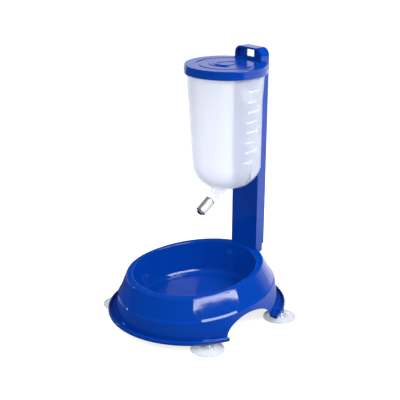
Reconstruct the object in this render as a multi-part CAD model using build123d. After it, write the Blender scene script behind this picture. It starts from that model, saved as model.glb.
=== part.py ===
from build123d import *
from math import cos, hypot, radians, sin, sqrt, tan
import os

# Pet water dispenser: a bowl base on four suction cups, a post pushed onto its rear, and an inverted
# reservoir that hangs on the post and feeds the bowl through a ball nozzle.
# Millimetres, +Z up, the bowl's front towards -Y, origin on the floor under the middle of the base.

# Base outlines: half width, reach to the front of the widest line, length of the straight flank behind
# that line, and reach to the rear of the flank
widest_y = -9.5
flange_size = (100.3, 103.8, 25.0, 97.8)
ledge_size = (86.6, 93.3, 13.0, 102.2)
rim_size = (75.5, 82.0, 1.0, 98.0)
mouth_size = (70.0, 73.0, 1.0, 86.8)
floor_size = (60.0, 66.0, 1.0, 82.0)

# Base heights and walls
foot_height = 7.5
rim_height = 60.5
rim_slope = 2.86
ledge_height = 34.3
ledge_rise = 2.4
ledge_step = 2.0
ledge_round = 0.8
bowl_floor_height = 22.0
base_wall = 2.4
flange_thickness = 2.5
lip_height = 5.6
lip_thickness = 2.2
lip_top_round = 0.9
lip_under_round = 3.0
flange_corner = 2.0
gutter_inset = 8.0
rim_round = 2.0
mouth_round = 1.1
floor_round = 9.0

# Side arches through the skirt, and the gaps they leave in the flange
arch_y = 3.65
arch_half_span = 38.65
flange_gap_y = 1.4
flange_gap_half_span = 39.8
arch_rise = 21.0
arch_start = 72.0

# Suction cups and their bosses
cup_front_x, cup_front_y = 80.0, -59.0
cup_rear_x, cup_rear_y = 82.6, 61.9
cup_radius = 20.0
cup_edge = 0.9
cup_hollow = 3.4
cup_swell = 0.8
cup_neck_radius = 3.4
cup_neck_length = 2.3
cup_pad_radius = 5.2
cup_pad_height = 1.9
cup_shoulder_radius = 6.6
boss_radius = 5.6
boss_height = 3.6
cup_clearance = 0.1

# Post and head
bottle_y = 45.5
post_width = 43.0
post_depth = 14.0
post_wall = 2.4
post_length = 250.0
post_corner = 9.0
post_rib = 1.8
post_rib_pitch = 44.0
post_rib_inset = 2.0
plinth_rise = 5.2
plinth_back_inset = 2.5
tenon_length = 26.0
tenon_wall = 3.0
tenon_clearance = 0.2
tenon_chamfer = 1.0
pocket_height = 10.6
pocket_depth = 3.8
window_width = 13.0
window_height = 8.4
window_sill = 1.2

# Lid
post_inside_lid = 12.3
lid_below_post_top = 14.8
lid_radius = 49.5
lid_height = 10.0
lid_plate = 2.4
lid_skirt_wall = 3.0
lid_band_height = 6.0
lid_band_step = 0.7
lid_post_gap = 1.8
lid_notch_gap = 1.0
lid_fit = 0.3
notch_round = 1.5
lid_notch_wall = 1.7
lid_groove_inset = 15.4
lid_groove_width = 3.4
lid_groove_depth = 0.7
lid_edge_round = 0.8
lid_plug_depth = 4.5
lid_plug_wall = 1.6
seal_thickness = 1.4
seal_gap = 0.1

# Bottle
bottle_low_radius = 39.4
bottle_wall = 1.6
bottle_side_height = 109.0
bottle_round_depth = 35.4
rear_radius_step = 1.4
rear_corner_step = 0.2
shoulder_turn = 34.1
facet_end_turn = 58.1
flank_step = 0.4
flank_y = 5.8
shoulder_round = 2.5
groove_clearance = 0.6
bead_height = 1.6
bead_step = 1.0
mark_pitch = 12.4
mark_count = 8
mark_thickness = 1.2
mark_relief = 0.5
mark_short = 8.0
mark_long = 17.0
mark_start = -1.0

# Hook and its slot in the post
hook_drop = 44.0
hook_width = 16.0
hook_root = 5.0
hook_tongue = 9.0
hook_thickness = 2.4
hook_clearance = 0.4
hook_seat_gap = 0.2
bottle_lift = 10.0

# Spout and ball nozzle, measured along the nozzle's axis from the spout's shoulder
nozzle_fall = 33.0
shoulder_back = 24.0
shoulder_drop = 10.5
spout_radius = 6.3
spout_root_radius = 7.9
spout_root_round = 4.0
spout_length = 35.0
spout_bore = 3.8
spigot_length = 9.8
sleeve_wall = 0.8
sleeve_length = 21.0
sleeve_fit = 0.05
crimp_radius = 4.0
crimp_length = 2.2
ball_radius = 4.7
ball_gap = 0.05
gasket_thickness = 0.8
gasket_stand = 0.2

# Heights that follow from the sizes above
post_front = bottle_y + lid_radius - post_inside_lid
post_back = post_front + post_depth
post_half = post_width / 2
plinth_top = rim_height + post_front * tan(radians(rim_slope)) + plinth_rise
post_top = plinth_top + post_length
lid_top = post_top - lid_below_post_top
lid_bottom = lid_top - lid_height
bottle_top = lid_top - lid_plate - seal_thickness - 2 * seal_gap
bottle_top_radius = lid_radius - lid_skirt_wall - lid_fit
bottle_rear_radius = bottle_top_radius - rear_radius_step
bottle_side_bottom = lid_bottom - bottle_side_height
bottle_bottom = bottle_side_bottom - bottle_round_depth
hook_top = bottle_top - hook_drop
notch_half = post_half + lid_notch_gap
notch_front = post_front - lid_post_gap


def egg(size, inset, height, slope=0.0):
    """Oval face set in by inset all round; its plane leans up towards the rear."""
    half, front, flank, rear = size[0] - inset, size[1] - inset, size[2], size[3] - inset
    rear_y = widest_y + flank
    edges = [
        EllipticalCenterArc((0, widest_y), half, front, 180, arc_size=180),
        Line((half, widest_y), (half, rear_y)),
        EllipticalCenterArc((0, rear_y), half, rear, 0, arc_size=180),
        Line((-half, rear_y), (-half, widest_y)),
    ]
    lean = radians(slope)
    place = Plane(origin=(0, 0, height), x_dir=(1, 0, 0), z_dir=(0, -sin(lean), cos(lean)))
    return place * make_face(edges)


def block(x0, x1, y0, y1, z0, z1):
    """Box from its low corner to its high corner."""
    return Pos((x0 + x1) / 2, (y0 + y1) / 2, (z0 + z1) / 2) * Box(x1 - x0, y1 - y0, z1 - z0)


def unleaned(point):
    """Height of a point above the base with the rim's lean taken out."""
    return point.Z - point.Y * tan(radians(rim_slope))


def skirt(inset):
    """Two-tier skirt body, from the flange up to the rim ring; inset shrinks it all round."""
    sections = [
        egg(flange_size, gutter_inset + inset, foot_height - inset),
        egg(ledge_size, inset, ledge_height, rim_slope),
        egg(ledge_size, ledge_step + inset, ledge_height + ledge_rise, rim_slope),
        egg(rim_size, inset, rim_height - inset, rim_slope),
    ]
    body = loft(sections, ruled=True)
    if inset:
        return body
    low_ring, high_ring = ledge_height - ledge_round, ledge_height + ledge_rise + ledge_round
    rings = body.edges().filter_by(lambda ring: low_ring < unleaned(ring.center()) < high_ring)
    rings = rings.filter_by(lambda ring: abs(unleaned(ring @ 0) - unleaned(ring @ 1)) < ledge_rise / 2)
    return fillet(rings, ledge_round)


def bowl(outset, floor_drop):
    """Bowl body from its floor up to the rim plane; outset is the wall round it."""
    low = egg(floor_size, -outset, bowl_floor_height - floor_drop)
    top = egg(mouth_size, -outset, rim_height, rim_slope)
    body = loft([low, top], ruled=True)
    return fillet(body.faces().sort_by(Axis.Z)[0].edges(), floor_round + outset)


def flange():
    """Gutter floor round the skirt's foot with its upturned lip, open at the arches."""
    ring = extrude(egg(flange_size, 0, foot_height), lip_height)
    ring = fillet(ring.faces().sort_by(Axis.Z)[0].edges(), lip_under_round)
    ring -= extrude(egg(flange_size, lip_thickness, foot_height + flange_thickness), lip_height)
    ring = fillet(ring.faces().filter_by(Axis.Z).sort_by(Axis.Z)[-1].edges(), lip_top_round)
    plan = egg(flange_size, -lip_top_round, 0)
    width = flange_size[0]
    for side in (1, -1):
        gap = Rectangle(2 * width, 2 * flange_gap_half_span)
        plan -= Pos(side * (arch_start + width), flange_gap_y) * gap
    corners = plan.vertices().filter_by(lambda corner: abs(corner.X) > arch_start + lip_top_round)
    plan = fillet(corners, flange_corner)
    return ring & extrude(plan, foot_height + lip_height)


def cup_places():
    """Foot names with the centre of each cup."""
    return {
        "front_left": (-cup_front_x, cup_front_y),
        "front_right": (cup_front_x, cup_front_y),
        "rear_left": (-cup_rear_x, cup_rear_y),
        "rear_right": (cup_rear_x, cup_rear_y),
    }


def tenon():
    """Plinth under the post and the hollow tenon that the post slides over."""
    plinth = block(-post_half, post_half, post_front, post_back - plinth_back_inset,
                   plinth_top - plinth_rise - 2 * base_wall, plinth_top)
    gap = post_wall + tenon_clearance
    peg = block(-post_half + gap, post_half - gap, post_front + gap, post_back - plinth_back_inset,
                plinth_top - base_wall, plinth_top + tenon_length)
    peg = chamfer(peg.faces().sort_by(Axis.Z)[-1].edges(), tenon_chamfer)
    return plinth + peg


def tenon_core():
    """Hollow inside plinth and tenon, open to the underside."""
    side = post_wall + tenon_clearance + tenon_wall
    back = post_back - plinth_back_inset - tenon_wall
    top = plinth_top + tenon_length - tenon_wall
    return block(-post_half + side, post_half - side, post_front + side, back, ledge_height, top)


def rim_face(shell):
    """Leaning ring face on top of the base."""
    return max(shell.faces(), key=lambda face: face.normal_at(face.center()).Z * face.center().Z)


def base_bowl():
    """Bowl, rim ring, skirt, flange, bosses, plinth and tenon in one moulding."""
    inside = skirt(base_wall)
    shell = skirt(0) - (inside - bowl(base_wall, base_wall))
    shell = shell - bowl(0, 0) - extrude(egg(mouth_size, 0, rim_height, rim_slope), rim_round)
    shell = fillet(rim_face(shell).inner_wires()[0].edges(), mouth_round)
    shell = fillet(rim_face(shell).outer_wire().edges(), rim_round)
    base = shell + (flange() - inside)
    for x, y in cup_places().values():
        base += Pos(x, y, foot_height + boss_height / 2) * Cylinder(boss_radius, boss_height)
    base += tenon()
    base -= tenon_core()
    arch = Plane.YZ * Pos(arch_y, foot_height) * Ellipse(arch_half_span, arch_rise)
    for side in (1, -1):
        base -= Pos(side * arch_start, 0, 0) * extrude(arch, side * flange_size[0], dir=(1, 0, 0))
    hole = cup_neck_radius + cup_clearance
    depth = cup_neck_length + cup_clearance
    for x, y in cup_places().values():
        base -= Pos(x, y, foot_height + depth / 2) * Cylinder(hole, depth)
    return base


def post():
    """Open-backed channel with cross ribs, hook slot, and a recessed head with a hanging window."""
    middle = (plinth_top + post_top) / 2
    face = Pos(0, middle) * Rectangle(post_width, post_length)
    face = fillet(face.vertices().group_by(Axis.Y)[-1], post_corner)
    inner = Pos(0, middle - post_wall) * Rectangle(post_width - 2 * post_wall, post_length)
    inner = fillet(inner.vertices().group_by(Axis.Y)[-1], post_corner - post_wall)
    front = Plane(origin=(0, post_front, 0), x_dir=(1, 0, 0), z_dir=(0, -1, 0))
    body = extrude(front * face, -post_depth)
    back = extrude(front.offset(-post_wall) * inner, -post_depth)
    body -= back
    pocket_top = post_top - post_wall
    pocket_floor = pocket_top - pocket_height
    web = post_front + pocket_depth
    head = block(-post_half, post_half, post_front, post_back, pocket_floor - post_wall, post_top)
    plate = extrude(front.offset(-pocket_depth) * face, -post_wall)
    shelf = block(-post_half + post_wall, post_half - post_wall, post_front, web + post_wall,
                  pocket_floor - post_wall, pocket_floor)
    body += (plate & head) + shelf
    opening = extrude(front.offset(1) * inner, -pocket_depth - 1)
    body -= opening & block(-post_half, post_half, post_front - 1, web, pocket_floor, post_top)
    sill = pocket_floor + window_sill
    half = window_width / 2
    body -= block(-half, half, web - 1, web + post_wall + 1, sill, sill + window_height)
    for z in rib_heights(pocket_floor):
        body += block(-post_half + post_wall, post_half - post_wall, post_front + post_wall,
                      post_back - post_rib_inset, z, z + post_rib)
    slot = hook_width / 2 + hook_clearance
    low = hook_top - hook_root - hook_seat_gap
    high = hook_top + bottle_lift + hook_clearance
    body -= block(-slot, slot, post_front - 1, post_front + post_wall, low, high)
    return body


def rib_heights(pocket_floor):
    """Rib levels above the tenon and below the head, leaving room for the hook."""
    z = plinth_top + tenon_length + post_rib
    hook_low = hook_top - hook_root - hook_tongue - 2 * hook_clearance
    hook_high = hook_top + bottle_lift + 2 * hook_clearance
    levels = []
    while z < pocket_floor - 4 * post_rib:
        if z + post_rib < hook_low or z > hook_high:
            levels.append(z)
        z += post_rib_pitch
    return levels


def post_space(half, front):
    """Plan of the room left for the post, with rounded front corners, running out past the lid."""
    depth = 2 * lid_radius
    plan = Pos(0, front + depth / 2) * Rectangle(2 * half, depth)
    return fillet(plan.vertices().group_by(Axis.Y)[0], notch_round)


def notched(radius, inset):
    """Disc about the bottle's axis, cut out at the rear for the post; inset moves the notch walls in."""
    return Pos(0, bottle_y) * Circle(radius) - post_space(notch_half + inset, notch_front - inset)


def lid():
    """Press-on lid: notched plate, stepped skirt, inner plug ring and a ring groove on top."""
    low = extrude(Pos(0, 0, lid_bottom) * notched(lid_radius, 0), lid_band_height)
    high = extrude(Pos(0, 0, lid_bottom) * notched(lid_radius - lid_band_step, 0), lid_height)
    body = low + high
    body = fillet(body.faces().sort_by(Axis.Z)[-1].edges(), lid_edge_round)
    plate_under = lid_top - lid_plate
    inner_radius = lid_radius - lid_skirt_wall
    body -= extrude(Pos(0, 0, lid_bottom) * notched(inner_radius, lid_notch_wall), plate_under - lid_bottom)
    plug_radius = bottle_top_radius - bottle_wall - lid_fit
    plug_inset = lid_notch_wall + lid_fit + bottle_wall + lid_fit
    ring = notched(plug_radius, plug_inset) - notched(plug_radius - lid_plug_wall, plug_inset + lid_plug_wall)
    plug_length = lid_plug_depth + seal_thickness
    body += extrude(Pos(0, 0, plate_under - plug_length) * ring, plug_length)
    middle, half = lid_radius - lid_groove_inset, lid_groove_width / 2
    groove = Circle(middle + half) - Circle(middle - half)
    body -= Pos(0, bottle_y, lid_top - lid_groove_depth) * extrude(groove, lid_groove_depth)
    return body


def lid_seal():
    """Soft ring between the bottle's mouth and the lid's plate."""
    outer_radius = lid_radius - lid_skirt_wall - lid_fit
    inner_radius = bottle_top_radius - bottle_wall
    inset = lid_notch_wall + lid_fit
    ring = notched(outer_radius, inset) - notched(inner_radius, inset + bottle_wall)
    return extrude(Pos(0, 0, bottle_top + seal_gap) * ring, seal_thickness)


def round_body(radius, top_radius, depth, top):
    """Solid about the bottle's axis: straight or tapered side with a rounded bottom."""
    side = bottle_side_bottom
    end = EllipticalCenterArc((0, side), radius, depth, 270, arc_size=90)
    flank = [(radius, side), (top_radius, lid_bottom), (top_radius, top)]
    outline = Polyline(*flank, (0, top), (0, side - depth))
    axis_plane = Plane(origin=(0, bottle_y, 0), x_dir=(1, 0, 0), z_dir=(0, -1, 0))
    return revolve(axis_plane * make_face([end, outline]), Axis((0, bottle_y, 0), (0, 0, 1)))


def bottle_front(inset, top):
    """Tapered round front of the reservoir; inset shrinks it all round."""
    return round_body(bottle_low_radius - inset, bottle_top_radius - inset, bottle_round_depth - inset, top)


def bottle_rear(inset):
    """Untapered, faceted rear of the reservoir, rounded below like the front."""
    radius = bottle_rear_radius - inset
    drum = round_body(radius, radius, bottle_round_depth - inset, bottle_top)
    corner = bottle_rear_radius - rear_corner_step
    half = [(bottle_low_radius + flank_step, flank_y)]
    for turn in (shoulder_turn, facet_end_turn):
        half.append((corner * cos(radians(turn)), corner * sin(radians(turn))))
    points = half + [(-x, y) for x, y in reversed(half)]
    plan = Pos(0, bottle_y) * make_face(Polyline(*points, close=True))
    plan = fillet(plan.vertices().group_by(Axis.Y)[1], shoulder_round)
    if inset:
        plan = offset(plan, -inset)
    return drum & extrude(Pos(0, 0, bottle_bottom) * plan, lid_bottom - bottle_bottom)


def groove(grow):
    """Space for the post down the bottle's back, deeper where the lid's skirt passes; grow adds a wall."""
    low = post_space(post_half + groove_clearance + grow, post_front - groove_clearance - grow)
    inset = lid_notch_wall + lid_fit + grow
    high = post_space(notch_half + inset, notch_front - inset)
    top = bottle_top + grow
    neck = lid_bottom - bead_height - bead_step - grow
    low_part = extrude(Pos(0, 0, bottle_bottom - grow) * low, top - bottle_bottom + grow)
    return low_part + extrude(Pos(0, 0, neck) * high, top - neck)


def spout_plane():
    """Plane on the spout's shoulder, with its normal along the nozzle's axis."""
    fall = radians(nozzle_fall)
    place = (0, bottle_y - shoulder_back, bottle_bottom - shoulder_drop)
    return Plane(origin=place, x_dir=(1, 0, 0), z_dir=(0, -cos(fall), -sin(fall)))


def along(start, length, low_radius, top_radius=None):
    """Cylinder or cone on the nozzle's axis, from start outwards."""
    top_radius = low_radius if top_radius is None else top_radius
    middle = Pos(0, 0, start + length / 2)
    if top_radius == low_radius:
        return spout_plane() * middle * Cylinder(low_radius, length)
    return spout_plane() * middle * Cone(low_radius, top_radius, length)


def bottle_marks():
    """Raised volume marks on the right-hand side, alternately long and short."""
    shell = bottle_front(-mark_relief, bottle_top) + bottle_rear(-mark_relief)
    marks = []
    for i in range(mark_count):
        z = bottle_side_bottom + (i + 0.5) * mark_pitch
        start = bottle_y + mark_start
        end = start + (mark_long if i % 2 else mark_short)
        bar = block(bottle_low_radius / 2, 2 * lid_radius, start, end, z, z + mark_thickness)
        marks.append(shell & bar)
    return marks


def hook():
    """Root through the post's slot and tongue hanging behind the post's front wall."""
    half = hook_width / 2
    wall_back = post_front + post_wall + hook_clearance
    root = block(-half, half, post_front - groove_clearance - bottle_wall / 2, wall_back + hook_thickness,
                 hook_top - hook_root, hook_top)
    low = hook_top - hook_root - hook_tongue
    tongue = block(-half, half, wall_back, wall_back + hook_thickness, low, hook_top)
    return root + tongue


def bottle():
    """Reservoir with rear groove, bead under the lid, marks, hook and inclined spout."""
    body = bottle_front(0, bottle_top)
    body += along(-spout_length, spout_length, spout_root_radius, spout_radius)
    body = fillet(spout_root(body), spout_root_round)
    body += bottle_rear(0)
    bead_low = lid_bottom - bead_height - bead_step / 2
    bead = Pos(0, bottle_y, bead_low + bead_height / 2) * Cylinder(bottle_top_radius + bead_step, bead_height)
    body += bead
    for mark in bottle_marks():
        body += mark
    body -= groove(0)
    body += along(0, spigot_length, spout_radius - sleeve_wall - sleeve_fit)
    hollow = bottle_front(bottle_wall, bottle_top + bottle_wall) + bottle_rear(bottle_wall)
    body -= hollow - groove(bottle_wall)
    body -= along(-spout_length, spout_length + spigot_length, spout_bore)
    body += hook()
    return body


def spout_root(body):
    """Edges where the spout's tube meets the bottle's round bottom."""
    seat = spout_plane()
    root = []
    for edge in body.edges().filter_by(GeomType.BSPLINE):
        middle = Vector(seat.to_local_coords(edge.center()))
        if -spout_length < middle.Z < 0 and hypot(middle.X, middle.Y) < 2 * spout_root_radius:
            root.append(edge)
    return root


def nozzle_seal():
    """Black gasket between the spout's shoulder and the sleeve."""
    ring = along(sleeve_fit, gasket_thickness, spout_radius + gasket_stand)
    return ring - along(0, spigot_length, spout_radius - sleeve_wall)


def nozzle_sleeve():
    """Steel sleeve whose tip is crimped in to hold the ball."""
    start = gasket_thickness + 2 * sleeve_fit
    inner = spout_radius - sleeve_wall
    tip = sleeve_length
    outside = [(spout_radius, start), (spout_radius, tip - crimp_length)]
    inside = [(crimp_radius, tip - sleeve_wall), (inner, tip - crimp_length), (inner, start)]
    crimp = RadiusArc(outside[-1], (crimp_radius, tip), crimp_length * 1.25)
    body = [
        Line(inside[-1], outside[0]),
        Line(*outside),
        crimp,
        Line((crimp_radius, tip), inside[0]),
        Line(inside[0], inside[1]),
        Line(inside[1], inside[2]),
    ]
    profile = spout_plane() * Plane.XZ * make_face(body)
    seat = spout_plane()
    return revolve(profile, Axis(seat.origin, seat.z_dir))


def nozzle_ball():
    """Steel ball resting on the crimp from inside."""
    seat = sleeve_length - sleeve_wall
    centre = seat - sqrt(ball_radius ** 2 - crimp_radius ** 2) - ball_gap
    return spout_plane() * Pos(0, 0, centre) * Sphere(ball_radius)


def suction_cup(x, y):
    """Soft cup: thin domed disc, hollow below, with a pad under the flange and a neck in the boss."""
    pad_top = foot_height - cup_clearance
    pad_low = pad_top - cup_pad_height
    neck_top = pad_top + cup_neck_length
    rim_top = (cup_radius, cup_edge)
    shoulder = (cup_shoulder_radius, pad_low)
    stem = [(cup_pad_radius, pad_top), (cup_neck_radius, pad_top), (cup_neck_radius, neck_top), (0, neck_top)]
    outline = [
        Polyline((0, 0), (cup_radius, 0), rim_top),
        SagittaArc(rim_top, shoulder, cup_swell),
        Polyline(shoulder, *stem, (0, 0)),
    ]
    body = revolve(Plane.XZ * make_face(outline), Axis.Z)
    sealing = cup_radius - cup_edge
    ball = (sealing ** 2 + cup_hollow ** 2) / (2 * cup_hollow)
    body -= Pos(0, 0, cup_hollow - ball) * Sphere(ball)
    return Pos(x, y, 0) * body


def main():
    os.makedirs("parts", exist_ok=True)
    pieces = {
        "base_bowl": base_bowl(),
        "post": post(),
        "bottle": bottle(),
        "lid": lid(),
        "lid_seal": lid_seal(),
        "nozzle_sleeve": nozzle_sleeve(),
        "nozzle_seal": nozzle_seal(),
        "nozzle_ball": nozzle_ball(),
    }
    for name, (x, y) in cup_places().items():
        pieces["suction_cup_" + name] = suction_cup(x, y)
    for name, shape in pieces.items():
        export_step(shape, "parts/" + name + ".step")


main()
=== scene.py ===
"""Looks for the pet water dispenser: finishes, small details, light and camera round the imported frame."""

import math

import bmesh
import bpy
from bpy.props import FloatProperty, FloatVectorProperty, IntProperty, PointerProperty
from mathutils import Matrix, Vector
from mathutils.bvhtree import BVHTree


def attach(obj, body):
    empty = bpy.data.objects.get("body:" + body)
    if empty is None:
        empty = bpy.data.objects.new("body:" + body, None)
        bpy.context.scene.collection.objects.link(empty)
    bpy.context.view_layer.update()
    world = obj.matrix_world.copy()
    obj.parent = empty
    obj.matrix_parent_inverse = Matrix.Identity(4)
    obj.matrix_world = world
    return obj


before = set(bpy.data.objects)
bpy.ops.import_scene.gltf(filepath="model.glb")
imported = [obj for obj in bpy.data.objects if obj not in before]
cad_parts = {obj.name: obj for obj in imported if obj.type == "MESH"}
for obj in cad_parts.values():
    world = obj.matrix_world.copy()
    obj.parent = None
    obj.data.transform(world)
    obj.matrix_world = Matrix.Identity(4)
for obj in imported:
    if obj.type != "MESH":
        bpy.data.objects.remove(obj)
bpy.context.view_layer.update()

bl_info = {
    "name": "Pet Water Dispenser",
    "version": (1, 0, 0),
    "blender": (4, 5, 0),
    "location": "3D View > Sidebar > Dispenser",
    "description": "Finishes and details for a water bowl with a post, a bottle and a ball nozzle",
    "category": "Object",
}

MM = 0.001

# Where the photograph was taken from, in the object's frame: metres, degrees and millimetres of lens.
CAMERA_PLACE = (0.74907, -0.71414, 0.52103)
CAMERA_TURN = 46.18
CAMERA_PITCH = 19.91
CAMERA_ROLL = 0.29
CAMERA_LENS = 82.76

# The bottle's scale, in millimetres. Its levels and its ends to the rear are the CAD's, and its bars start
# 6 mm further forward than the CAD's lines, as the photographed ones do.
SCALE_COUNT = 8
SCALE_LOWEST = 192.23
SCALE_STEP = 12.4
SCALE_FRONT = 38.5
SCALE_SHORT_END = 52.5
SCALE_LONG_END = 61.5
BAR_ROOT = 0.8
BAR_ROUND = 0.1
NUMBER_FRONT = 53.2
NUMBER_GAP = 0.9
FIGURE_SHARE = 0.73  # a figure's height as a share of the font's size
BESIDE = 0.2  # metres, well outside the object's right side

# The disc inside the lid's groove and the relief on it, in millimetres.
# A ripple is a radius and a spread in degrees.
DISC_MIDDLE = (0.0, 45.5)
DISC_TOP = 305.03
RELIEF_BACK = 3.0
RELIEF_SUNK = 0.02
RIPPLES = ((17.5, 100), (22.5, 84))

# The satin patch in the bowl, in millimetres, and the noise range that a surface's roughness is spread over.
SATIN_HALF_WIDTH = 57.0
SATIN_HALF_LENGTH = 68.0
NOISE_LOW, NOISE_HIGH = 0.3, 0.7

# The stage: half the floor's side in metres, what the lamps face, and how bright each kind of ray finds it.
FLOOR_HALF = 3.0
LAMP_AIM = (0.05, -0.02, 0.08)
FLOOR_GLOW = 0.8
FILL_LIGHT = 0.5
DIM_ROOM = 0.04
BACKDROP_LIGHT = 0.9


def linear(colour):
    """An sRGB hex colour as the linear RGBA that a shader socket holds."""
    parts = [int(colour[i:i + 2], 16) / 255 for i in (0, 2, 4)]
    return (*[p / 12.92 if p <= 0.04045 else ((p + 0.055) / 1.055) ** 2.4 for p in parts], 1.0)


def add(tree, kind, inputs=None, **settings):
    """Adds a node with its settings; an input is a plain value or the output socket that feeds it."""
    node = tree.nodes.new(kind)
    for name, value in settings.items():
        setattr(node, name, value)
    for name, value in (inputs or {}).items():
        if isinstance(value, bpy.types.NodeSocket):
            tree.links.new(value, node.inputs[name])
        else:
            node.inputs[name].default_value = value
    return node


def new_material(name):
    """An empty node material and its tree."""
    material = bpy.data.materials.new(name)
    material.use_nodes = True
    material.node_tree.nodes.clear()
    return material, material.node_tree


def finish_material(tree, surface):
    """Links a surface shader to the material's output."""
    add(tree, "ShaderNodeOutputMaterial", {"Surface": surface})


def object_place(tree, size_mm):
    """Object coordinates scaled so that one unit of pattern is size_mm long."""
    place = add(tree, "ShaderNodeTexCoord").outputs["Object"]
    scale = 1 / (size_mm * MM)
    return add(tree, "ShaderNodeMapping", {"Vector": place, "Scale": (scale,) * 3}).outputs["Vector"]


def uneven(tree, size_mm, detail, low, high):
    """A noise with spots size_mm long, and the same noise spread from low to high."""
    noise = add(tree, "ShaderNodeTexNoise", {
        "Vector": object_place(tree, size_mm), "Scale": 1.0, "Detail": detail}).outputs["Fac"]
    spread = add(tree, "ShaderNodeMapRange", {
        "Value": noise, "From Min": NOISE_LOW, "From Max": NOISE_HIGH, "To Min": low, "To Max": high})
    return noise, spread.outputs["Result"]


def moulded_polypropylene(name, colour, satin):
    """Injection-moulded glossy polypropylene: a deep colour with a wet-looking skin.

    The skin has the slow ripple of a polished mould, a few millimetres long, and dull handling marks.
    The lid's top and the bowl's floor are satin, which blurs what they mirror.
    """
    material, tree = new_material(name)
    ripple = add(tree, "ShaderNodeTexNoise", {"Vector": object_place(tree, 14), "Scale": 1.0, "Detail": 2.0})
    haze, rough = uneven(tree, 30, 5.0, 0.035, 0.07)
    tint = add(tree, "ShaderNodeMix", {
        "Factor": haze, "A": (*colour[:3], 1), "B": (*[c * 0.9 for c in colour[:3]], 1)},
        data_type="RGBA")
    bump = add(tree, "ShaderNodeBump", {
        "Height": ripple.outputs["Fac"], "Strength": 0.12, "Distance": 0.3 * MM})
    dull = add(tree, "ShaderNodeMath", {0: rough, 1: satin(tree)}, operation="ADD")
    shader = add(tree, "ShaderNodeBsdfPrincipled", {
        "Base Color": tint.outputs["Result"], "Roughness": dull.outputs[0],
        "Normal": bump.outputs["Normal"], "IOR": 1.49, "Specular IOR Level": 0.5})
    finish_material(tree, shader.outputs["BSDF"])
    return material


def satin_lid(tree):
    """Extra roughness of the lid's top face, as an etched area of the mould leaves it."""
    place = add(tree, "ShaderNodeTexCoord").outputs["Object"]
    return add(tree, "ShaderNodeMapRange", {
        "Value": add(tree, "ShaderNodeSeparateXYZ", {0: place}).outputs["Z"],
        "From Min": (DISC_TOP - 0.8) * MM, "From Max": (DISC_TOP - 0.3) * MM,
        "To Min": 0.0, "To Max": 0.14}).outputs["Result"]


def satin_bowl(tree):
    """Extra roughness of the bowl's floor, where water and washing have dulled it."""
    place = add(tree, "ShaderNodeTexCoord").outputs["Object"]
    shares = (1 / (SATIN_HALF_WIDTH * MM), 1 / (SATIN_HALF_LENGTH * MM), 0)
    flat = add(tree, "ShaderNodeVectorMath", {0: place, 1: shares}, operation="MULTIPLY")
    reach = add(tree, "ShaderNodeVectorMath", {0: flat.outputs["Vector"]}, operation="LENGTH")
    return add(tree, "ShaderNodeMapRange", {
        "Value": reach.outputs["Value"], "From Min": 0.75, "From Max": 0.95,
        "To Min": 0.3, "To Max": 0.0}).outputs["Result"]


def frosted_polyethylene(colour):
    """Blow-moulded natural polyethylene: milky, lets light through, and dims what is behind it."""
    material, tree = new_material("blown_polyethylene_natural")
    shader = add(tree, "ShaderNodeBsdfPrincipled", {
        "Base Color": colour, "Roughness": uneven(tree, 40, 2.0, 0.3, 0.34)[1],
        "IOR": 1.2, "Alpha": 0.5, "Transmission Weight": 0.5})
    finish_material(tree, shader.outputs["BSDF"])
    return material


def scale_polyethylene():
    """The raised scale of the bottle: the same milky plastic, duller, over the bottle's own wall."""
    material, tree = new_material("blown_polyethylene_raised")
    shader = add(tree, "ShaderNodeBsdfPrincipled", {
        "Base Color": linear("E6EDFC"), "Roughness": uneven(tree, 2, 2.0, 0.42, 0.48)[1], "Alpha": 0.4})
    finish_material(tree, shader.outputs["BSDF"])
    return material


def clear_vinyl(colour):
    """Soft PVC of a suction cup: clear, a little cloudy, with a slick skin."""
    material, tree = new_material("moulded_pvc_clear")
    shader = add(tree, "ShaderNodeBsdfPrincipled", {
        "Base Color": colour, "Roughness": uneven(tree, 6, 3.0, 0.15, 0.19)[1],
        "IOR": 1.52, "Transmission Weight": 0.75})
    finish_material(tree, shader.outputs["BSDF"])
    return material


def polished_steel(name, colour, roughness, grain_mm):
    """Stainless steel turned and polished: a fine grain blurs its reflections unevenly."""
    material, tree = new_material(name)
    grain, rough = uneven(tree, grain_mm, 2.0, roughness * 0.8, roughness * 1.2)
    bump = add(tree, "ShaderNodeBump", {"Height": grain, "Strength": 0.1, "Distance": 0.05 * MM})
    shader = add(tree, "ShaderNodeBsdfPrincipled", {
        "Base Color": colour, "Metallic": 1.0, "Roughness": rough, "Normal": bump.outputs["Normal"]})
    finish_material(tree, shader.outputs["BSDF"])
    return material


def moulded_rubber(name, colour, roughness):
    """Matt moulded rubber with the fine pitting of its mould."""
    material, tree = new_material(name)
    pits = add(tree, "ShaderNodeTexNoise", {"Vector": object_place(tree, 0.8), "Scale": 1.0, "Detail": 2.0})
    bump = add(tree, "ShaderNodeBump", {
        "Height": pits.outputs["Fac"], "Strength": 0.2, "Distance": 0.05 * MM})
    shader = add(tree, "ShaderNodeBsdfPrincipled", {
        "Base Color": colour, "Roughness": roughness, "Normal": bump.outputs["Normal"]})
    finish_material(tree, shader.outputs["BSDF"])
    return material


def dress(names, material):
    """Gives CAD nodes a material."""
    for name in names:
        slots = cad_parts[name].data.materials
        slots.clear()
        slots.append(material)


class DispenserColours(bpy.types.PropertyGroup):
    """Colours that a user would change."""

    plastic: FloatVectorProperty(
        name="Moulded plastic", description="Colour of the base, the post and the lid",
        subtype="COLOR", size=4, min=0, max=1, default=linear("013898"))
    bottle: FloatVectorProperty(
        name="Bottle", description="Tint of the milky bottle",
        subtype="COLOR", size=4, min=0, max=1, default=linear("EBF0FC"))


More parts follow.
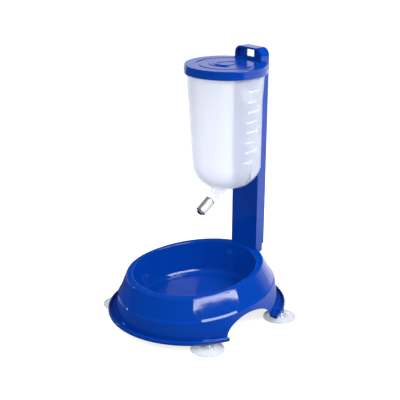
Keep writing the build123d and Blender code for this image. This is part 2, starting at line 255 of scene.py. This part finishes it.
class DISPENSER_OT_plastics(bpy.types.Operator):
    """Gives the base, the post and the lid their glossy blue plastic"""

    bl_idname = "dispenser.plastics"
    bl_label = "Base, post and lid"

    def execute(self, context):
        colour = context.scene.dispenser_colours.plastic
        dress(["base_bowl", "post"], moulded_polypropylene("moulded_polypropylene_blue", colour, satin_bowl))
        dress(["lid"], moulded_polypropylene("moulded_polypropylene_etched", colour, satin_lid))
        return {"FINISHED"}


class LidRelief(bpy.types.PropertyGroup):
    """Sizes of the drop and its ripples on the lid."""

    drop_length: FloatProperty(
        name="Drop length", description="From the drop's tip to its round end",
        default=27 * MM, min=0.01, max=0.03, unit="LENGTH")
    line_width: FloatProperty(
        name="Line width", description="Width of the raised lines",
        default=1.9 * MM, min=0.001, max=0.003, unit="LENGTH")
    height: FloatProperty(
        name="Height", description="How far the lines stand up",
        default=0.6 * MM, min=0.0002, max=0.001, unit="LENGTH")


class BottleScale(bpy.types.PropertyGroup):
    """Sizes of the scale on the bottle's side."""

    bar_height: FloatProperty(
        name="Bar height", description="Height of a bar of the scale",
        default=2.6 * MM, min=0.001, max=0.005, unit="LENGTH")
    proud: FloatProperty(
        name="Relief", description="How far the bars and numbers stand out",
        default=0.25 * MM, min=0.0001, max=0.0005, unit="LENGTH")
    number_height: FloatProperty(
        name="Number height", description="Height of the numbers",
        default=5 * MM, min=0.002, max=0.008, unit="LENGTH")
    first_volume: IntProperty(
        name="First volume", description="Millilitres at the lowest long bar", default=150, min=0)
    volume_step: IntProperty(
        name="Volume step", description="Millilitres between two long bars", default=125, min=1)


def keep_piece(mesh, name, body, material):
    """Stores a finished bmesh as a piece of the object, with its faces turned outwards."""
    bmesh.ops.remove_doubles(mesh, verts=mesh.verts[:], dist=0.002 * MM)
    bmesh.ops.recalc_face_normals(mesh, faces=mesh.faces[:])
    data = bpy.data.meshes.new(name)
    mesh.to_mesh(data)
    mesh.free()
    data.materials.append(material)
    piece = bpy.data.objects.new(name, data)
    bpy.context.scene.collection.objects.link(piece)
    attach(piece, body)


def soften(mesh, edges, width):
    """Rounds edges over."""
    bmesh.ops.bevel(mesh, geom=edges, affect="EDGES", offset=width, segments=2, profile=0.5, material=-1)


def raised_outline(mesh, face, width, height):
    """Turns a flat face into a raised line that follows its edge."""
    ring = bmesh.ops.inset_region(
        mesh, faces=[face], thickness=width, use_boundary=True, use_even_offset=True)["faces"]
    bmesh.ops.delete(mesh, geom=[face], context="FACES_ONLY")
    top = bmesh.ops.extrude_face_region(mesh, geom=ring)["geom"]
    bmesh.ops.translate(mesh, verts=[v for v in top if isinstance(v, bmesh.types.BMVert)], vec=(0, 0, height))
    faces = {f for f in top if isinstance(f, bmesh.types.BMFace)}
    soften(mesh, [e for e in mesh.edges if len(e.link_faces) == 2 and len(faces & set(e.link_faces)) == 1],
           height * 0.4)


def lid_drop(mesh, sizes):
    """The outline of a water drop, its tip towards the post."""
    half = sizes.drop_length / 2
    corners = bmesh.ops.create_circle(mesh, cap_ends=True, segments=64, radius=1.0)["verts"]
    for corner in corners:
        turn = math.atan2(corner.co.y, corner.co.x) % math.tau
        corner.co = (0.92 * half * math.sin(turn) * math.sin(turn / 2) ** 1.2, half * math.cos(turn), 0)
    raised_outline(mesh, corners[0].link_faces[0], sizes.line_width, sizes.height)


def lid_ripple(mesh, sizes, radius, spread):
    """A raised arc under the drop's round end."""
    turn = Matrix.Rotation(math.radians(-spread / 2), 4, "Z")
    start = bmesh.ops.create_circle(mesh, cap_ends=True, segments=12, radius=sizes.line_width / 2)["verts"]
    flat = sizes.height / (sizes.line_width / 2)
    for corner in start:
        corner.co = turn @ Vector((corner.co.x, -radius, corner.co.y * flat))
    bmesh.ops.spin(mesh, geom=[start[0].link_faces[0], *start[0].link_faces[0].edges, *start], cent=(0, 0, 0),
                   axis=(0, 0, 1), dvec=(0, 0, 0), angle=math.radians(spread), steps=28)


def node_skin(name):
    """A CAD node's surface, for laying thin details on it."""
    mesh = bmesh.new()
    mesh.from_mesh(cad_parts[name].data)
    skin = BVHTree.FromBMesh(mesh)
    mesh.free()
    return skin


def side_of(skin, y, z):
    """How far out the bottle's right side is."""
    hit = skin.ray_cast(Vector((BESIDE, y, z)), Vector((-1, 0, 0)))[0]
    if hit is None:
        raise RuntimeError("The scale misses the bottle")
    return hit.x


def scale_bar(mesh, skin, sizes, end, z):
    """A bar of the scale, moulded over the line that the bottle has there."""
    start = SCALE_FRONT * MM
    length = end * MM - start
    grid = bmesh.ops.create_grid(mesh, x_segments=8, y_segments=1, size=0.5)["verts"]
    for corner in grid:
        y = start + (corner.co.x + 0.5) * length
        corner.co = (side_of(skin, y, z) + sizes.proud, y, z + corner.co.y * sizes.bar_height)
    front = list({f for corner in grid for f in corner.link_faces})
    back = bmesh.ops.extrude_face_region(mesh, geom=front)["geom"]
    bmesh.ops.translate(mesh, verts=[v for v in back if isinstance(v, bmesh.types.BMVert)],
                        vec=(-sizes.proud - BAR_ROOT * MM, 0, 0))
    faces = {f for corner in grid for f in corner.link_faces}
    kept = set(front) & faces
    soften(mesh, [e for f in kept for e in f.edges if len(kept & set(e.link_faces)) == 1], BAR_ROUND * MM)


def scale_number(mesh, skin, sizes, text, y, z):
    """A number of the scale: the letters' outline, laid on the bottle's side."""
    curve = bpy.data.curves.new("number", "FONT")
    curve.body = text
    curve.size = sizes.number_height / FIGURE_SHARE
    curve.extrude = sizes.proud
    curve.resolution_u = 3
    holder = bpy.data.objects.new("number", curve)
    data = bpy.data.meshes.new_from_object(holder)
    bpy.data.objects.remove(holder)
    for corner in data.vertices:
        right, up, out = corner.co
        corner.co = (side_of(skin, y + right, z + up) + out, y + right, z + up)
    mesh.from_mesh(data)


class DISPENSER_OT_lid_relief(bpy.types.Operator):
    """Makes the raised drop with its ripples on the lid"""

    bl_idname = "dispenser.lid_relief"
    bl_label = "Lid relief"

    def execute(self, context):
        sizes = context.scene.dispenser_lid_relief
        mesh = bmesh.new()
        lid_drop(mesh, sizes)
        for radius, spread in RIPPLES:
            lid_ripple(mesh, sizes, radius * MM, spread)
        bmesh.ops.translate(mesh, verts=mesh.verts[:], vec=(
            DISC_MIDDLE[0] * MM, (DISC_MIDDLE[1] + RELIEF_BACK) * MM, (DISC_TOP - RELIEF_SUNK) * MM))
        keep_piece(mesh, "lid_relief", "lid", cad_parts["lid"].data.materials[0])
        return {"FINISHED"}


class DISPENSER_OT_bottle_scale(bpy.types.Operator):
    """Makes the scale's bars and numbers on the bottle's side"""

    bl_idname = "dispenser.bottle_scale"
    bl_label = "Bottle scale"

    def execute(self, context):
        sizes = context.scene.dispenser_bottle_scale
        skin = node_skin("bottle")
        mesh = bmesh.new()
        volume = sizes.first_volume
        for index in range(SCALE_COUNT):
            z = (SCALE_LOWEST + index * SCALE_STEP) * MM
            long = index % 2 == 1
            scale_bar(mesh, skin, sizes, SCALE_LONG_END if long else SCALE_SHORT_END, z)
            if long:
                scale_number(mesh, skin, sizes, str(volume), NUMBER_FRONT * MM,
                             z + sizes.bar_height / 2 + NUMBER_GAP * MM)
                volume += sizes.volume_step
        keep_piece(mesh, "bottle_scale", "bottle", scale_polyethylene())
        return {"FINISHED"}


class DISPENSER_OT_bottle(bpy.types.Operator):
    """Gives the bottle its milky plastic"""

    bl_idname = "dispenser.bottle"
    bl_label = "Bottle"

    def execute(self, context):
        dress(["bottle"], frosted_polyethylene(context.scene.dispenser_colours.bottle))
        return {"FINISHED"}


class DISPENSER_OT_nozzle(bpy.types.Operator):
    """Gives the ball nozzle its steel and its rubber"""

    bl_idname = "dispenser.nozzle"
    bl_label = "Nozzle"

    def execute(self, context):
        dress(["nozzle_sleeve"], polished_steel("turned_steel_sleeve", linear("EAEAF0"), 0.55, 0.6))
        dress(["nozzle_ball"], polished_steel("bearing_steel_ball", linear("8A8A90"), 0.08, 3.0))
        dress(["nozzle_seal"], moulded_rubber("moulded_nitrile_black", linear("202024"), 0.6))
        return {"FINISHED"}


class DISPENSER_OT_soft_parts(bpy.types.Operator):
    """Gives the suction cups and the lid's seal their soft plastics"""

    bl_idname = "dispenser.soft_parts"
    bl_label = "Suction cups and seal"

    def execute(self, context):
        cups = [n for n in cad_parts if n.startswith("suction_cup")]
        dress(cups, clear_vinyl(linear("EEF3FC")))
        dress(["lid_seal"], moulded_rubber("moulded_silicone_white", linear("E4E4E6"), 0.5))
        return {"FINISHED"}


class DISPENSER_OT_stage(bpy.types.Operator):
    """Makes the floor, the lamps, the sky and the camera"""

    bl_idname = "dispenser.stage"
    bl_label = "Stage"

    def execute(self, context):
        make_floor()
        make_sky(context.scene)
        make_lamps()
        make_camera(context.scene)
        return {"FINISHED"}


def make_floor():
    """A plain white floor that keeps the object's soft shadow.

    Mirrored, it is white only behind the object and close by, and dark paper elsewhere, as in a dim studio.
    """
    mesh = bmesh.new()
    bmesh.ops.create_grid(mesh, x_segments=1, y_segments=1, size=FLOOR_HALF)
    data = bpy.data.meshes.new("floor")
    mesh.to_mesh(data)
    mesh.free()
    floor = bpy.data.objects.new("floor", data)
    bpy.context.scene.collection.objects.link(floor)
    material, tree = new_material("studio_paper_white")
    path = add(tree, "ShaderNodeLightPath")
    plain = add(tree, "ShaderNodeMath", {
        0: path.outputs["Is Camera Ray"], 1: path.outputs["Is Transmission Ray"]}, operation="MAXIMUM")
    place = add(tree, "ShaderNodeTexCoord").outputs["Object"]
    reach = add(tree, "ShaderNodeVectorMath", {0: place}, operation="LENGTH")
    near = add(tree, "ShaderNodeMapRange", {
        "Value": reach.outputs["Value"], "From Min": FLOOR_HALF / 2, "From Max": FLOOR_HALF,
        "To Min": 1.0, "To Max": 0.0})
    rear = add(tree, "ShaderNodeMapRange", {
        "Value": add(tree, "ShaderNodeSeparateXYZ", {0: place}).outputs["Y"],
        "From Min": 0.0, "From Max": 0.35, "To Min": DIM_ROOM, "To Max": 1.0},
        interpolation_type="SMOOTHSTEP")
    bright = add(tree, "ShaderNodeMath", {0: near.outputs["Result"], 1: rear.outputs["Result"]},
                 operation="MULTIPLY")
    mirrored = add(tree, "ShaderNodeMath", {0: path.outputs["Is Glossy Ray"], 1: bright.outputs[0]},
                   operation="MULTIPLY")
    seen = add(tree, "ShaderNodeMath", {0: plain.outputs[0], 1: mirrored.outputs[0]}, operation="MAXIMUM")
    glow = add(tree, "ShaderNodeMath", {0: seen.outputs[0], 1: FLOOR_GLOW}, operation="MULTIPLY")
    dark = add(tree, "ShaderNodeMath", {0: path.outputs["Is Glossy Ray"], 1: mirrored.outputs[0]},
               operation="SUBTRACT")
    sheet = add(tree, "ShaderNodeMix", {
        "Factor": dark.outputs[0], "A": linear("B4B4B4"), "B": linear("202020")}, data_type="RGBA")
    paper = add(tree, "ShaderNodeBsdfDiffuse", {"Color": sheet.outputs["Result"]})
    light = add(tree, "ShaderNodeEmission", {"Color": (1, 1, 1, 1), "Strength": glow.outputs[0]})
    both = add(tree, "ShaderNodeAddShader", {0: paper.outputs[0], 1: light.outputs[0]})
    finish_material(tree, both.outputs[0])
    data.materials.append(material)


def make_sky(scene):
    """White where it is seen; mirrored, a dim room with a low white backdrop behind the object."""
    world = bpy.data.worlds.new("studio")
    world.use_nodes = True
    tree = world.node_tree
    tree.nodes.clear()
    turn = math.radians(CAMERA_TURN)
    way = add(tree, "ShaderNodeTexCoord").outputs["Generated"]
    far = add(tree, "ShaderNodeVectorMath", {0: way, 1: (-math.sin(turn), math.cos(turn), 0)},
              operation="DOT_PRODUCT")
    behind = add(tree, "ShaderNodeMapRange", {
        "Value": far.outputs["Value"], "From Min": 0.3, "From Max": 0.75, "To Min": 0.0, "To Max": 1.0},
        interpolation_type="SMOOTHSTEP")
    low = add(tree, "ShaderNodeMapRange", {
        "Value": add(tree, "ShaderNodeSeparateXYZ", {0: way}).outputs["Z"],
        "From Min": 0.22, "From Max": 0.42, "To Min": 1.0, "To Max": 0.0}, interpolation_type="SMOOTHSTEP")
    backdrop = add(tree, "ShaderNodeMath", {0: behind.outputs["Result"], 1: low.outputs["Result"]},
                   operation="MULTIPLY")
    room = add(tree, "ShaderNodeMapRange", {
        "Value": backdrop.outputs[0], "To Min": DIM_ROOM, "To Max": BACKDROP_LIGHT})
    path = add(tree, "ShaderNodeLightPath")
    plain = add(tree, "ShaderNodeMath", {
        0: path.outputs["Is Camera Ray"], 1: path.outputs["Is Transmission Ray"]}, operation="MAXIMUM")
    fill = add(tree, "ShaderNodeBackground", {"Color": (1, 1, 1, 1), "Strength": FILL_LIGHT})
    mirrored = add(tree, "ShaderNodeBackground", {"Color": (1, 1, 1, 1), "Strength": room.outputs["Result"]})
    white = add(tree, "ShaderNodeBackground", {"Color": (1, 1, 1, 1), "Strength": 1.0})
    lit = add(tree, "ShaderNodeMixShader", {
        0: path.outputs["Is Glossy Ray"], 1: fill.outputs[0], 2: mirrored.outputs[0]})
    mixed = add(tree, "ShaderNodeMixShader", {0: plain.outputs[0], 1: lit.outputs[0], 2: white.outputs[0]})
    add(tree, "ShaderNodeOutputWorld", {"Surface": mixed.outputs[0]})
    scene.world = world


def make_lamp(name, place, size, power, tilt=0.0, mirrored=True):
    """A soft box that faces the base, tilted in its own plane; a lamp that isn't mirrored only lights."""
    lamp = bpy.data.lights.new(name, "AREA")
    lamp.shape = "RECTANGLE"
    lamp.size, lamp.size_y = size
    lamp.energy = power
    holder = bpy.data.objects.new(name, lamp)
    way = Vector(LAMP_AIM) - Vector(place)
    turn = way.to_track_quat("-Z", "Y").to_matrix() @ Matrix.Rotation(math.radians(tilt), 3, "Z")
    holder.matrix_world = Matrix.Translation(place) @ turn.to_4x4()
    holder.visible_glossy = mirrored
    bpy.context.scene.collection.objects.link(holder)


def make_lamps():
    """A broad key lamp high on the right, a weak fill, and narrow boxes for the glints on the base."""
    make_lamp("key_right", (0.95, 0.16, 0.98), (1.0, 0.6), 20)
    make_lamp("fill_left", (-0.5, -0.9, 0.9), (0.9, 0.7), 9, mirrored=False)
    make_lamp("strip_right", (0.87, 0.01, 0.2335), (1.2, 0.017), 0.8, tilt=-7.4)
    make_lamp("soft_box_high", (0.2, 0.46, 1.1), (0.3, 0.2), 2)
    make_lamp("soft_box_left", (-0.85, -0.43, 0.40), (0.12, 0.12), 0.5)


def make_camera(scene):
    """The camera at the photograph's place, turn and lens."""
    turn, pitch, roll = (math.radians(v) for v in (CAMERA_TURN, CAMERA_PITCH, CAMERA_ROLL))
    back = Vector((math.sin(turn) * math.cos(pitch), -math.cos(turn) * math.cos(pitch), math.sin(pitch)))
    right = Vector((math.cos(turn), math.sin(turn), 0))
    up = back.cross(right)
    tilted = math.cos(roll) * right + math.sin(roll) * up
    raised = math.cos(roll) * up - math.sin(roll) * right
    camera = bpy.data.cameras.new("camera")
    camera.lens = CAMERA_LENS
    holder = bpy.data.objects.new("camera", camera)
    facing = Matrix((tilted, raised, back)).transposed().to_4x4()
    holder.matrix_world = Matrix.Translation(CAMERA_PLACE) @ facing
    scene.collection.objects.link(holder)
    scene.camera = holder


class DISPENSER_PT_panel(bpy.types.Panel):
    """Lists the operators in the order in which they run"""

    bl_label = "Pet Water Dispenser"
    bl_space_type = "VIEW_3D"
    bl_region_type = "UI"
    bl_category = "Dispenser"

    def draw(self, context):
        scene = context.scene
        for group in (scene.dispenser_colours, scene.dispenser_lid_relief, scene.dispenser_bottle_scale):
            for name in group.__annotations__:
                self.layout.prop(group, name)
        for operator in OPERATORS:
            self.layout.operator(operator.bl_idname)


GROUPS = (DispenserColours, LidRelief, BottleScale)
OPERATORS = (
    DISPENSER_OT_plastics,
    DISPENSER_OT_lid_relief,
    DISPENSER_OT_bottle,
    DISPENSER_OT_bottle_scale,
    DISPENSER_OT_nozzle,
    DISPENSER_OT_soft_parts,
    DISPENSER_OT_stage,
)


def register():
    for cls in (*GROUPS, *OPERATORS, DISPENSER_PT_panel):
        bpy.utils.register_class(cls)
    bpy.types.Scene.dispenser_colours = PointerProperty(type=DispenserColours)
    bpy.types.Scene.dispenser_lid_relief = PointerProperty(type=LidRelief)
    bpy.types.Scene.dispenser_bottle_scale = PointerProperty(type=BottleScale)


def unregister():
    del bpy.types.Scene.dispenser_colours, bpy.types.Scene.dispenser_lid_relief
    del bpy.types.Scene.dispenser_bottle_scale
    for cls in reversed((*GROUPS, *OPERATORS, DISPENSER_PT_panel)):
        bpy.utils.unregister_class(cls)


def main():
    """Runs every operator in order."""
    register()
    bpy.context.scene.view_settings.view_transform = "Standard"
    bpy.ops.dispenser.plastics()
    bpy.ops.dispenser.lid_relief()
    bpy.ops.dispenser.bottle()
    bpy.ops.dispenser.bottle_scale()
    bpy.ops.dispenser.nozzle()
    bpy.ops.dispenser.soft_parts()
    bpy.ops.dispenser.stage()


if __name__ == "__main__":
    main()
